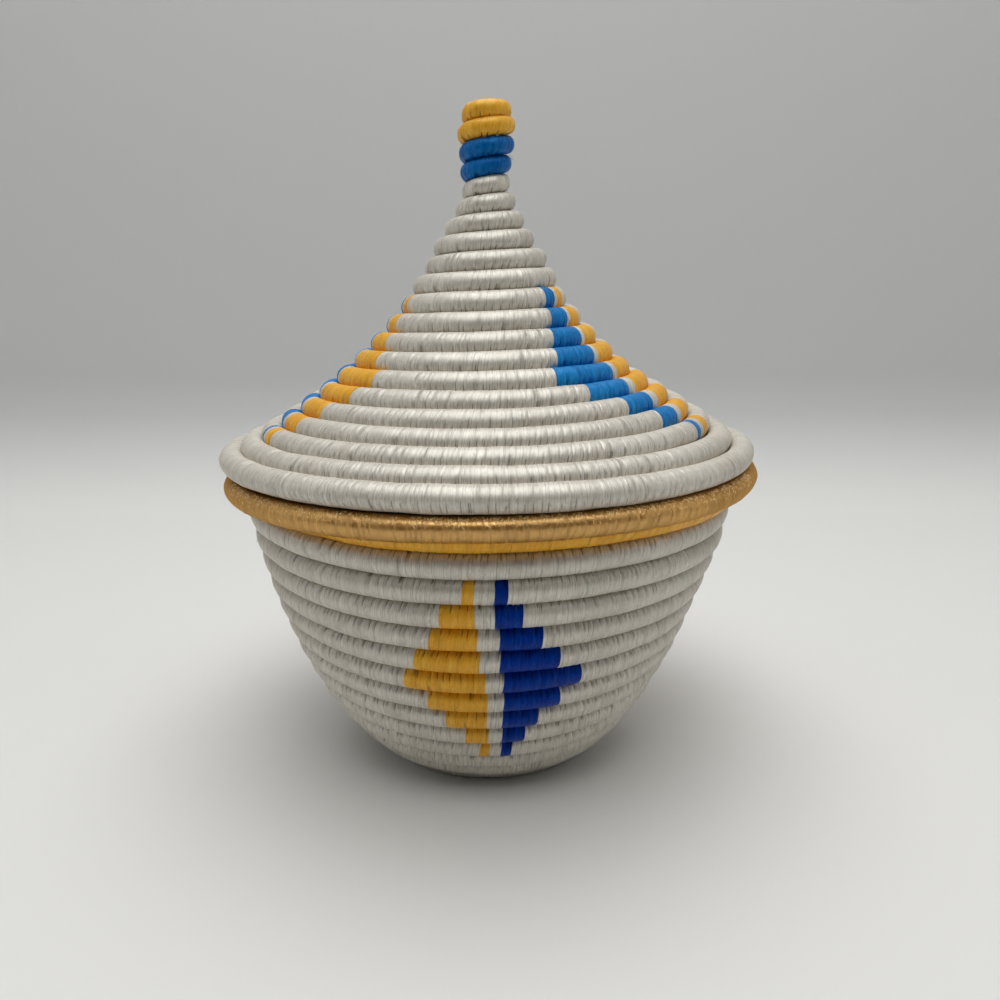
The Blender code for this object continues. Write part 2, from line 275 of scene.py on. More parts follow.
def addNode(tree, kind, settings, links=None):
    node = tree.nodes.new(kind)
    for key, value in settings.items():
        if isinstance(key, str) and hasattr(node, key):
            setattr(node, key, value)
        else:
            node.inputs[key].default_value = value
    for key, output in (links or {}).items():
        tree.links.new(output, node.inputs[key])
    return node


# Sisal is the leaf fibre of an agave, scraped clean, combed and dyed. Laid side by side the fibres are satin,
# with a silky streak along each one, fine lines of painted shade between them and a slightly different tone
# in every few.
# Plant fibre has an ior near 1.5. That of the white and gold ones is higher, to match their silky shine.
# Below, the fourth colour of each sisal is the painted shade in the wrap's openings and nicks, and the number
# after it sets how dark its painted shadow lines between bunches are.
sisalLooks = {
    "white": {
        "name": "bleachedSisal",
        "dark": "#A29689", "body": "#C8C1B5", "light": "#E6E1D5", "splitShade": "#2C2219", "shadowLines": 1.4,
        "roughness": 0.45, "ior": 2.0, "specular": 1.0, "tint": "#FFFEF3", "relief": 0.05,
    },
    "yellow": {
        "name": "yellowDyedSisal",
        "dark": "#CC8A12", "body": "#E7A61E", "light": "#F8C850", "splitShade": "#65400C", "shadowLines": 0.5,
        "roughness": 0.42, "ior": 1.6, "specular": 0.9, "tint": "#FFDC98", "relief": 0.08,
    },
    "gold": {
        "name": "goldDyedSisal",
        "dark": "#704612", "body": "#A06A1E", "light": "#DCA44E", "splitShade": "#241404", "shadowLines": 2.0,
        "roughness": 0.31, "ior": 2.9, "specular": 1.0, "tint": "#FFD08A", "relief": 0.14,
    },
    # painted highlight: the loose gold ends are drawn far paler than the gold wrap, for the glints along the
    # rim's top
    "goldTipHighlight": {
        "name": "goldSisalEndsHighlight",
        "dark": "#EABC74", "body": "#FCDEA0", "light": "#FFF2D0", "splitShade": "#2A1806", "shadowLines": 0.3,
        "roughness": 0.30, "ior": 3.0, "specular": 1.0, "tint": "#FFE2B0", "relief": 0.05,
    },
    "lidBlue": {
        "name": "skyBlueDyedSisal",
        "dark": "#085A9A", "body": "#0C76BA", "light": "#3098D8", "splitShade": "#041E3C", "shadowLines": 1.0,
        "roughness": 0.42, "ior": 1.5, "specular": 0.7, "tint": "#3C9CE8", "relief": 0.10,
    },
    # the knob's blue is drawn darker than the lid's sky blue
    "knobBlue": {
        "name": "knobDarkBlueSisal",
        "dark": "#034684", "body": "#065CA4", "light": "#2480C8", "splitShade": "#021428", "shadowLines": 0.8,
        "roughness": 0.40, "ior": 1.5, "specular": 0.9, "tint": "#3C9CE8", "relief": 0.10,
    },
    "bowlBlue": {
        "name": "royalBlueDyedSisal",
        "dark": "#02226C", "body": "#042F8C", "light": "#1648A6", "splitShade": "#02102C", "shadowLines": 0.8,
        "roughness": 0.42, "ior": 1.5, "specular": 0.4, "tint": "#3060D0", "relief": 0.10,
    },
}
fibre = {
    "perStrip": 3.4,  # about 0.25 mm a fibre
    "run": 0.24,  # a streak goes on for some 4 mm
    "bendScale": (0.55, 0.22, 1.0),  # a bend every 2 mm along the coil and 4 mm round it
    "bendWidth": 2.6,
    "patchScale": 32.0,  # to the metre, so uneven dye and handling show in patches of 30 mm
    "stripShare": 0.20,
    "fibreShare": 0.70,
    "patchShare": 0.30,
    "toneShift": -0.10,  # brings the middle tone to the middle of the ramp
    "rampStops": (0.20, 0.50, 0.85),  # of the dark, the body and the light colour
    "lineHalfWidth": 0.13,  # in strips, so 0.1 mm
    "glossSpread": 0.07,
}


def sisalMaterial(look):
    material = bpy.data.materials.new(look["name"])
    material.use_nodes = True
    tree = material.node_tree
    shader = tree.nodes["Principled BSDF"]
    # u counts strips of fibre along the coil, v is millimetres round it, and the fibres wander along u
    wraps = addNode(tree, "ShaderNodeUVMap", {"uv_map": "wraps"})
    bendPlace = addNode(
        tree, "ShaderNodeVectorMath", {"operation": "MULTIPLY", 1: fibre["bendScale"]}, {0: wraps.outputs[0]}
    )
    bend = addNode(
        tree, "ShaderNodeTexNoise", {"noise_dimensions": "2D", "Scale": 1.0, "Detail": 2.0},
        {"Vector": bendPlace.outputs[0]},
    )
    bent = addNode(
        tree, "ShaderNodeVectorMath", {"operation": "MULTIPLY_ADD", 1: (fibre["bendWidth"], 0.0, 0.0)},
        {0: bend.outputs[0], 2: wraps.outputs[0]},
    )
    axes = addNode(tree, "ShaderNodeSeparateXYZ", {}, {0: bent.outputs[0]})
    strip = addNode(tree, "ShaderNodeMath", {"operation": "FLOOR"}, {0: axes.outputs[0]})
    stripTone = addNode(tree, "ShaderNodeTexWhiteNoise", {"noise_dimensions": "1D"}, {"W": strip.outputs[0]})
    fibrePlace = addNode(
        tree, "ShaderNodeVectorMath", {"operation": "MULTIPLY", 1: (fibre["perStrip"], fibre["run"], 1.0)},
        {0: bent.outputs[0]},
    )
    fibres = addNode(
        tree, "ShaderNodeTexNoise", {"noise_dimensions": "2D", "Scale": 1.0, "Detail": 3.0, "Roughness": 0.6},
        {"Vector": fibrePlace.outputs[0]},
    )
    place = addNode(tree, "ShaderNodeTexCoord", {})
    patches = addNode(
        tree, "ShaderNodeTexNoise", {"Scale": fibre["patchScale"], "Detail": 3.0},
        {"Vector": place.outputs["Object"]},
    )
    tone = addNode(
        tree, "ShaderNodeMath", {"operation": "MULTIPLY_ADD", 1: fibre["stripShare"], 2: fibre["toneShift"]},
        {0: stripTone.outputs[0]},
    )
    toneFibre = addNode(
        tree, "ShaderNodeMath", {"operation": "MULTIPLY_ADD", 1: fibre["fibreShare"]},
        {0: fibres.outputs[0], 2: tone.outputs[0]},
    )
    toneAll = addNode(
        tree, "ShaderNodeMath", {"operation": "MULTIPLY_ADD", 1: fibre["patchShare"]},
        {0: patches.outputs[0], 2: toneFibre.outputs[0]},
    )
    ramp = addNode(tree, "ShaderNodeValToRGB", {}, {0: toneAll.outputs[0]})
    stops = ramp.color_ramp.elements
    darkStop, bodyStop, lightStop = fibre["rampStops"]
    stops[0].position, stops[0].color = darkStop, hexToLinear(look["dark"])
    stops[1].position, stops[1].color = lightStop, hexToLinear(look["light"])
    stops.new(bodyStop).color = hexToLinear(look["body"])
    # a thin shadow line between the bunches, stronger here and there and broken along its length
    plainAxes = addNode(tree, "ShaderNodeSeparateXYZ", {}, {0: wraps.outputs[0]})
    edge = addNode(tree, "ShaderNodeMath", {"operation": "ROUND"}, {0: plainAxes.outputs[0]})
    toEdge = addNode(
        tree, "ShaderNodeMath", {"operation": "SUBTRACT"}, {0: plainAxes.outputs[0], 1: edge.outputs[0]}
    )
    awayFromEdge = addNode(tree, "ShaderNodeMath", {"operation": "ABSOLUTE"}, {0: toEdge.outputs[0]})
    edgeTone = addNode(tree, "ShaderNodeTexWhiteNoise", {"noise_dimensions": "1D"}, {"W": edge.outputs[0]})
    line = addNode(
        tree, "ShaderNodeMapRange",
        {"From Max": fibre["lineHalfWidth"], "To Min": look["shadowLines"], "To Max": 0.0},
        {"Value": awayFromEdge.outputs[0]},
    )
    strongLine = addNode(
        tree, "ShaderNodeMath", {"operation": "MULTIPLY"}, {0: line.outputs[0], 1: edgeTone.outputs[0]}
    )
    brokenLine = addNode(
        tree, "ShaderNodeMath", {"operation": "MULTIPLY"}, {0: strongLine.outputs[0], 1: bend.outputs[0]}
    )
    # painted shade: the wrap is darkened where its bunches part and in the nick beside each stitch
    splitShade = addNode(tree, "ShaderNodeAttribute", {"attribute_name": "splitShade"})
    darkest = addNode(
        tree, "ShaderNodeMath", {"operation": "MAXIMUM"}, {0: splitShade.outputs["Fac"], 1: brokenLine.outputs[0]}
    )
    colour = addNode(
        tree, "ShaderNodeMix", {"data_type": "RGBA", 7: hexToLinear(look["splitShade"])},
        {0: darkest.outputs[0], 6: ramp.outputs[0]},
    )
    tree.links.new(colour.outputs[2], shader.inputs["Base Color"])
    shader.inputs["IOR"].default_value = look["ior"]
    shader.inputs["Specular IOR Level"].default_value = look["specular"]
    shader.inputs["Specular Tint"].default_value = hexToLinear(look["tint"])
    dullest, glossiest = look["roughness"] + fibre["glossSpread"], look["roughness"] - fibre["glossSpread"]
    gloss = addNode(
        tree, "ShaderNodeMapRange", {"To Min": dullest, "To Max": glossiest}, {"Value": toneAll.outputs[0]}
    )
    tree.links.new(gloss.outputs[0], shader.inputs["Roughness"])
    relief = addNode(
        tree, "ShaderNodeBump", {"Strength": 1.0, "Distance": look["relief"] * mm},
        {"Height": fibres.outputs[0]},
    )
    tree.links.new(relief.outputs[0], shader.inputs["Normal"])
    return material


sisal = {key: sisalMaterial(look) for key, look in sisalLooks.items()}
sisalOrder = list(sisalLooks)
print("sisal dyed in", len(sisal), "colours")


# The pattern: stepped half diamonds in two colours, on either side of a white strip. A row is a round of the
# coil: the start and end of its left block and of its right one, in millimetres from the motif's middle line.
bowlMotif = {
    "colours": ("yellow", "bowlBlue"),
    "azimuths": (-0.4, 119.6, -120.4),
    "rows": {
        15: (-8.5, -4.5, 2.3, 6.8),
        14: (-16.1, -4.2, 2.7, 12.4),
        13: (-20.1, -3.5, 4.2, 19.3),
        12: (-25.6, -2.4, 4.6, 25.4),
        11: (-30.5, -1.1, 5.2, 34.0),
        10: (-21.6, -0.6, 5.3, 26.2),
        9: (-15.0, -0.4, 5.1, 18.1),
        8: (-8.3, -0.1, 5.0, 13.4),
        7: (-3.3, 0.3, 4.6, 8.7),
    },
}
lidMotif = {
    "colours": ("lidBlue", "yellow"),
    "azimuths": (56.5, -74.5, 170.0),
    "rows": {
        10: (-6.6, -1.5, 0.6, 5.0),
        9: (-10.9, -2.0, 0.2, 9.5),
        8: (-17.4, -2.5, 0.0, 14.5),
        7: (-23.0, -4.1, -1.2, 21.0),
        6: (-31.4, -2.8, 0.7, 31.5),
        5: (-26.1, -3.5, 1.5, 31.5),
        4: (-18.0, -0.6, 5.5, 26.5),
        3: (-9.4, 3.6, 8.7, 24.0),
        2: (2.6, 6.5, 10.8, 19.0),
    },
}


def follow(path, key, turn):
    return np.interp(turn, path["turn"], path[key])


def turnAt(path, arc):
    return np.interp(arc, path["arc"], path["turn"])


def motifSpans(path, motif):
    spans = []
    for azimuth in motif["azimuths"]:
        for row, lengths in motif["rows"].items():
            middle = row + azimuth / 360.0
            perTurn = 2.0 * math.pi * follow(path, "radius", middle)
            leftStart, leftEnd, rightStart, rightEnd = (middle + length / perTurn for length in lengths)
            spans.append((leftStart, leftEnd, motif["colours"][0]))
            spans.append((rightStart, rightEnd, motif["colours"][1]))
    return spans


# Lengths of coil: the node that a piece stands for, its slot, its sisal, and its first and last turn. A long
# node is wrapped as two or three pieces that meet at the back, so that none is too heavy.
bowlLengths = {
    "bowlBaseCoil": ("bowl_base_coil", "white_sisal", "white", float(bowl["turn"][0]), 4.5),
    "bowlWallLowCoil": ("bowl_wall_coil", "white_sisal", "white", 4.5, 9.5),
    "bowlWallMiddleCoil": ("bowl_wall_coil", "white_sisal", "white", 9.5, 13.5),
    "bowlWallHighCoil": ("bowl_wall_coil", "white_sisal", "white", 13.5, 16.5),
    "bowlYellowCoil": ("bowl_yellow_coil", "yellow_sisal", "yellow", 16.5, 17.5),
    "bowlRimCoil": ("bowl_rim_coil", "gold_sisal", "gold", 17.5, float(bowl["turn"][-1])),
}
lidLengths = {
    "lidBrimCoil": ("lid_brim_coil", "white_sisal", "white", float(lid["turn"][0]), 0.5),
    "lidConeLowCoil": ("lid_cone_coil", "white_sisal", "white", 0.5, 4.5),
    "lidConeHighCoil": ("lid_cone_coil", "white_sisal", "white", 4.5, 10.5),
    "lidSpireCoil": ("lid_spire_coil", "white_sisal", "white", 10.5, 16.5),
    "knobBlueCoil": ("knob_blue_coil", "blue_sisal", "knobBlue", 16.5, 18.5),
    "knobYellowCoil": ("knob_yellow_coil", "yellow_sisal", "yellow", 18.5, float(lid["turn"][-1])),
}
bowl["spans"] = [(start, end, colour) for _, _, colour, start, end in bowlLengths.values()]
bowl["spans"] += motifSpans(bowl, bowlMotif)
lid["spans"] = [(start, end, colour) for _, _, colour, start, end in lidLengths.values()]
lid["spans"] += motifSpans(lid, lidMotif)


def dyeAt(path, turn):
    # which sisal the wrap is made of at a turn, as a number in sisalOrder
    dye = np.zeros(np.shape(turn), dtype=int)
    for start, end, colour in path["spans"]:
        dye = np.where((turn > start) & (turn < end), sisalOrder.index(colour), dye)
    return dye


# Stitches: every few millimetres the wrap goes through the round that was sewn before
stitching = {
    "pitch": 2.9,
    "pitchSpread": 0.42,
    "depth": 0.7,  # of the nick beside a stitch, a small opening in the older round's wrap, darkened with painted shade
    "halfWidth": 0.24,
    "reach": (36.0, 56.0),  # degrees round the older coil
    "edgingReach": (14.0, 34.0),  # the same on a last round that is only overcast
    "fade": 6.0,  # degrees over which a nick runs out
    "shade": (0.8, 1.0),
    "pull": 0.28,  # the newer round's wrap is drawn in a little at each stitch
    "pullSpread": (0.3, 1.4),
    "pullReach": 90.0,
    "toothShare": 0.45,  # stitches whose own colour shows on the older round
    "toothReach": 14.0,
}


def sewRounds(path, newer, edging):
    # newer is 1 where the round after this one was sewn on later, and -1 where the round before it was;
    # edging is how much of the last round, with nothing sewn to it, is overcast with such stitches as well
    arcs = np.arange(path["arc"][0], path["arc"][-1], stitching["pitch"])
    arcs = arcs + rng.uniform(-1.0, 1.0, len(arcs)) * stitching["pitch"] * stitching["pitchSpread"]
    turns = turnAt(path, arcs)
    path["newer"] = newer
    path["stitches"] = turns[(turns + newer > path["turn"][0] - edging) & (turns + newer < path["turn"][-1])]


sewRounds(bowl, 1.0, 0.0)
sewRounds(lid, -1.0, 1.0)  # a lid is sewn from its tip down


# Wrapping a coil
wrapping = {
    "stripWidth": 0.86,  # of the flat bunches of fibre, on average
    "quickStripWidth": 3.0,
    "stripSpread": 0.42,
    "crest": 0.05,  # how far the bunches' middles stand out
    "crestSpread": (0.1, 1.7),
    "valley": 0.05,
    "touching": 8,  # the higher, the narrower the seams where nothing stands out
    "deepShare": 0.16,  # bunches that lie open and show a line of painted shade for part of the way round
    "deepValley": 0.16,
    "deepSpread": (0.5, 1.0),
    "deepHalfWidth": 0.16,
    # how dark the painted shade in a deep line is
    "deepShade": (0.25, 0.7),
    "deepMiddle": (-150.0, -30.0),  # degrees round the section, on the outside
    "deepSpan": (20.0, 70.0),
    "deepEnd": 1.5,  # spans from the line's middle to its end; it fades over the last one
    # how dark the painted shade in a shallow valley is
    "shallowShade": (0.0, 0.12),
    "boldness": {"bowlRimCoil": 2.4},  # pieces wrapped with coarser bunches than the rest
    # waves are spacings and amounts along the coil: the wrap bows and leans, and the grass bundle has lumps
    "bowWaves": ((19.0, 0.28), (2.4, 0.0616)),
    "leanWaves": ((13.0, 0.28),),
    "leanTo": 0.25,
    "straightEnd": 2.5,  # it runs straight again this close to a piece's end
    "lumpWaves": ((11.0, 0.09), (47.0, 0.054)),
    "fullness": 2.06,  # 2 is a round coil, more is squarer
    "endArea": 0.02,  # share of the section left where a coil is rounded off
    # degrees round the section from the newer round's side, close together where the stitches are
    "section": (0, -12, -20, -28, -38, -50, -66, -86, -108, -130, -150, -168, 170, 140, 108, 74, 42, 16),
}
stripNumbers = 4000  # a length of wrap starts its count of strips anywhere below this, so none look alike


def sectionAxis(path, turn):
    # the line through the two neighbouring rounds
    before = follow(path, "lean", turn)
    after = np.where(turn + 1.0 <= path["turn"][-1], follow(path, "lean", turn + 1.0), before)
    return (before + after) / 2.0


def smoothNoise(along, waves):
    # its finer part ends early along a coil, and from there on only sets the level
    finer = {"spacing": 0.37, "amount": 0.5}
    total = 0.0
    for spacing, amount in waves:
        knots = np.arange(along.min() - spacing, along.max() + 2 * spacing, spacing)
        rough = np.interp(along, knots, rng.normal(0.0, 1.0, len(knots)))
        fine = np.interp(along, knots * finer["spacing"], rng.normal(0.0, finer["amount"], len(knots)))
        total = total + amount * (rough + fine)
    return total


def stripEdges(path, startTurn, endTurn):
    # where one bunch of fibre ends and the next begins; each change of colour falls on such an edge
    start, end = follow(path, "arc", startTurn), follow(path, "arc", endTurn)
    spread = wrapping["stripSpread"]
    widths = rng.uniform(1.0 - spread, 1.0 + spread, int((end - start) / wrapping["stripWidth"]))
    edges = np.concatenate([[0.0], np.cumsum(widths)]) / widths.sum() * (end - start) + start
    for spanStart, spanEnd, _ in path["spans"]:
        for turn in (spanStart, spanEnd):
            if startTurn < turn < endTurn:
                edge = follow(path, "arc", turn)
                edges[np.argmin(np.abs(edges - edge))] = edge
    return np.sort(edges)


def inSpace(path, turn, half, angle):
    # the point that lies half millimetres from the coil's middle, at an angle round its section
    facing = sectionAxis(path, turn) + angle
    radius = follow(path, "radius", turn) + half * np.cos(facing)
    height = follow(path, "height", turn) + half * np.sin(facing)
    azimuth = 2.0 * math.pi * turn
    aside = follow(path, "aside", turn)
    return np.stack([radius * np.sin(azimuth) + aside, -radius * np.cos(azimuth), height], axis=-1)


def nearestEdges(path, edges, turns, startTurn, endTurn):
    # which edges between bunches the stitches come through
    inside = turns[(turns > startTurn) & (turns < endTurn)]
    return np.unique(np.clip(np.searchsorted(edges, follow(path, "arc", inside)), 1, len(edges) - 2))


def narrow(ringArc, edges, halfWidth):
    # draws the rings beside an edge up to it, so that what opens there is a thin line
    for ring in 2 * edges:
        ringArc[ring - 1] = max(ringArc[ring - 1], ringArc[ring] - halfWidth)
        ringArc[ring + 1] = min(ringArc[ring + 1], ringArc[ring] + halfWidth)


def sectionDegrees(newer):
    # the points round a section, and how far round each one is from the newer round
    fromNewer = np.array(wrapping["section"], dtype=float)
    degrees = fromNewer if newer > 0 else 180.0 - fromNewer
    degrees = np.sort((degrees + 180.0) % 360.0 - 180.0)
    return degrees, np.abs(degrees) if newer > 0 else 180.0 - np.abs(degrees)


def ridgeBunches(deep, degrees):
    # a crest on each bunch, and between two of them a shallow valley with faint painted shade, or a deep one
    # with a dark line of painted shade
    count = len(deep)
    relief = np.empty((2 * count - 1, 1))
    opened = rng.uniform(*wrapping["deepSpread"], count) * wrapping["deepValley"]
    relief[0::2, 0] = -np.where(deep, opened, wrapping["valley"])
    relief[1::2, 0] = wrapping["crest"] * rng.uniform(*wrapping["crestSpread"], count - 1)
    centre = rng.uniform(*wrapping["deepMiddle"], count)[:, None]
    span = rng.uniform(*wrapping["deepSpan"], count)[:, None]
    shown = np.clip(wrapping["deepEnd"] - np.abs(degrees[None, :] - centre) / span, 0.0, 1.0)
    shallow = rng.uniform(*wrapping["shallowShade"], count)[:, None]
    dark = shown * rng.uniform(*wrapping["deepShade"], count)[:, None]
    splitShade = np.zeros((2 * count - 1, len(degrees)))
    splitShade[0::2] = np.where(deep[:, None], dark, shallow)
    return relief, splitShade


def sewStitches(path, edges, nicks, pulls, toNewer, relief, splitShade):
    # cuts the nicks into the relief and paints shade into them, and draws the wrap in where this coil is sewn
    # to the older round
    overcast = turnAt(path, edges[nicks]) + path["newer"] < path["turn"][0]
    edgingReach = rng.uniform(*stitching["edgingReach"], len(nicks))
    reach = np.where(overcast, edgingReach, rng.uniform(*stitching["reach"], len(nicks)))
    nick = np.clip((reach[:, None] - toNewer[None, :]) / stitching["fade"], 0.0, 1.0)
    nick = nick * rng.uniform(*stitching["shade"], len(nicks))[:, None]
    relief[2 * nicks] -= nick * stitching["depth"]
    splitShade[2 * nicks] = np.maximum(splitShade[2 * nicks], nick)
    toOlder = 180.0 - toNewer
    pull = np.clip(1.0 - toOlder / stitching["pullReach"], 0.0, 1.0)[None, :]
    relief[2 * pulls] -= pull * stitching["pull"] * rng.uniform(*stitching["pullSpread"], len(pulls))[:, None]


def dyeFaces(path, edges, nicks, toNewer):
    # a face takes its bunch's sisal, and beside the seam some stitches show the newer round's
    middles = (edges[1:] + edges[:-1]) / 2.0
    dyes = np.repeat(dyeAt(path, turnAt(path, middles)), 2)[:, None] + np.zeros((1, len(toNewer)), dtype=int)
    teeth = nicks[rng.random(len(nicks)) < stitching["toothShare"]]
    nearSeam = np.flatnonzero(np.minimum(toNewer, np.roll(toNewer, -1)) < stitching["toothReach"])
    toothDye = dyeAt(path, turnAt(path, edges[teeth]) + path["newer"])
    for row in (2 * teeth - 1, 2 * teeth):
        dyes[row[:, None], nearSeam[None, :]] = toothDye[:, None]
    return dyes


def closeTube(u, v):
    # the faces of a tube that has a ring of points at each u and is closed at both ends, and their map
    count, around = len(u), len(v) - 1
    ring = np.arange(count - 1)[:, None] * around
    side = np.arange(around)[None, :]
    nextRing, nextSide = ring + around, (side + 1) % around
    quads = np.stack([ring + side, nextRing + side, nextRing + nextSide, ring + nextSide], axis=-1)
    fan = np.array([[0, k, k + 1, k + 2] for k in range(1, around - 1, 2)])
    caps = np.vstack([fan, fan[:, ::-1] + (count - 1) * around])
    uv = np.stack(np.meshgrid(u, v, indexing="ij"), axis=-1)
    corners = np.stack([uv[:-1, :-1], uv[1:, :-1], uv[1:, 1:], uv[:-1, 1:]], axis=2)
    capCorners = np.tile(uv[0, 0], (len(caps), 4, 1))
    return np.vstack([quads.reshape(-1, 4), caps]), np.concatenate([corners.reshape(-1, 4, 2), capCorners])


def wrapCoil(path, startTurn, endTurn, boldness=1.0):
    # a closed tube with a ring of points at each edge and each middle of a bunch of fibre
    edges = stripEdges(path, startTurn, endTurn)
    ringArc = np.empty(2 * len(edges) - 1)
    ringArc[0::2], ringArc[1::2] = edges, (edges[1:] + edges[:-1]) / 2.0
    deep = rng.random(len(edges)) < wrapping["deepShare"] * boldness
    deep[[0, -1]] = False
    nicks = nearestEdges(path, edges, path["stitches"], startTurn, endTurn)
    pulls = nearestEdges(path, edges, path["stitches"] + path["newer"], startTurn, endTurn)
    narrow(ringArc, np.flatnonzero(deep), wrapping["deepHalfWidth"])
    narrow(ringArc, nicks, stitching["halfWidth"])

    degrees, toNewer = sectionDegrees(path["newer"])
    angle = np.radians(degrees)[None, :]
    free = 1.0 - np.abs(np.cos(angle)) ** wrapping["touching"]  # nothing stands out where two rounds touch
    relief, splitShade = ridgeBunches(deep, degrees)
    relief = relief * free * boldness
    sewStitches(path, edges, nicks, pulls, toNewer, relief, splitShade)

    lumps = smoothNoise(ringArc, wrapping["lumpWaves"])
    bow = smoothNoise(ringArc, wrapping["bowWaves"])
    tilt = wrapping["leanTo"] + smoothNoise(ringArc, wrapping["leanWaves"])
    shift = bow[:, None] * np.sin(angle) + tilt[:, None] * np.cos(angle)
    fromEnd = np.minimum(ringArc - edges[0], edges[-1] - ringArc)[:, None]
    turn = turnAt(path, ringArc[:, None] + shift * np.clip(fromEnd / wrapping["straightEnd"], 0.0, 1.0))
    half = follow(path, "half", turn)
    fullness = wrapping["fullness"]
    squareness = np.abs(np.cos(angle)) ** fullness + np.abs(np.sin(angle)) ** fullness
    half = (half - path["gap"] / 2.0 * np.sin(angle) ** 2) * squareness ** (-1.0 / fullness)
    half = half + relief + lumps[:, None] * free
    for coilEnd, endArc in ((path["turn"][0], edges[0]), (path["turn"][-1], edges[-1])):
        if np.isclose(turnAt(path, endArc), coilEnd):
            inward = np.clip(np.abs(ringArc - endArc)[:, None] / half, 0.0, 1.0)
            half = half * np.sqrt(np.clip(1.0 - (1.0 - inward) ** 2, wrapping["endArea"], 1.0))

    u = np.arange(len(ringArc)) / 2.0 + rng.integers(0, stripNumbers)
    v = np.radians(np.append(degrees, degrees[0] + 360.0)) * float(np.mean(half))
    quads, uv = closeTube(u, v)
    dyes = dyeFaces(path, edges, nicks, toNewer)
    capDyes = np.repeat(dyes[[0, -1], 0], (len(quads) - dyes.size) // 2)
    return {
        "points": inSpace(path, turn, half, angle).reshape(-1, 3),
        "quads": quads,
        "uv": uv,
        "splitShade": splitShade.reshape(-1),
        "dyes": np.concatenate([dyes.reshape(-1), capDyes]),
    }


# Loose fibres: short ones that lie askew over the wrap, and longer ones that have come free of it. A sisal
# fibre is 0.1 to 0.3 mm thick: the askew ones are drawn a little thicker, so that they show.
hairKinds = {
    "askew": {"length": (1.4, 3.4), "thickness": (0.26, 0.46), "turnAside": 50.0, "lift": 0.14, "curl": 0.0},
    "free": {"length": (2.5, 6.5), "thickness": (0.16, 0.24), "turnAside": 80.0, "lift": 2.0, "curl": 0.9},
}
hairShape = {"points": 7, "liftSpread": (0.3, 1.0), "liftPower": 1.5, "thinning": 0.6}
hairs = {
    # kind, how many, turns from and to, degrees round the section from and to, sisal if not the wrap's own
    # most askew fibres on the rim's top, and its free ones, are of the pale gold ends, a painted highlight
    "bowlRimCoil": (
        ("askew", 1100, 17.82, 18.18, -4.0, 46.0, "goldTipHighlight"),
        ("askew", 260, 17.55, 18.40, 6.0, 50.0),
        ("free", 8, 17.6, 18.3, -100.0, -20.0, "goldTipHighlight"),
    ),
    "bowlWallLowCoil": (("free", 7, 8.0, 9.4, -120.0, -60.0),),
    "bowlWallMiddleCoil": (("free", 20, 9.6, 13.4, -120.0, -60.0),),
    "bowlWallHighCoil": (("free", 19, 13.6, 16.4, -120.0, -60.0),),
    "lidConeLowCoil": (("free", 20, 0.6, 4.4, -120.0, -60.0),),
    "lidConeHighCoil": (("free", 20, 4.6, 10.4, -120.0, -60.0),),
    "lidSpireCoil": (("free", 26, 11.0, 16.4, -120.0, -60.0), ("askew", 60, 15.6, 16.45, -46.0, 14.0)),
    "knobBlueCoil": (("askew", 26, 17.35, 17.65, -40.0, 20.0), ("free", 9, 17.15, 17.35, -50.0, 0.0)),
}


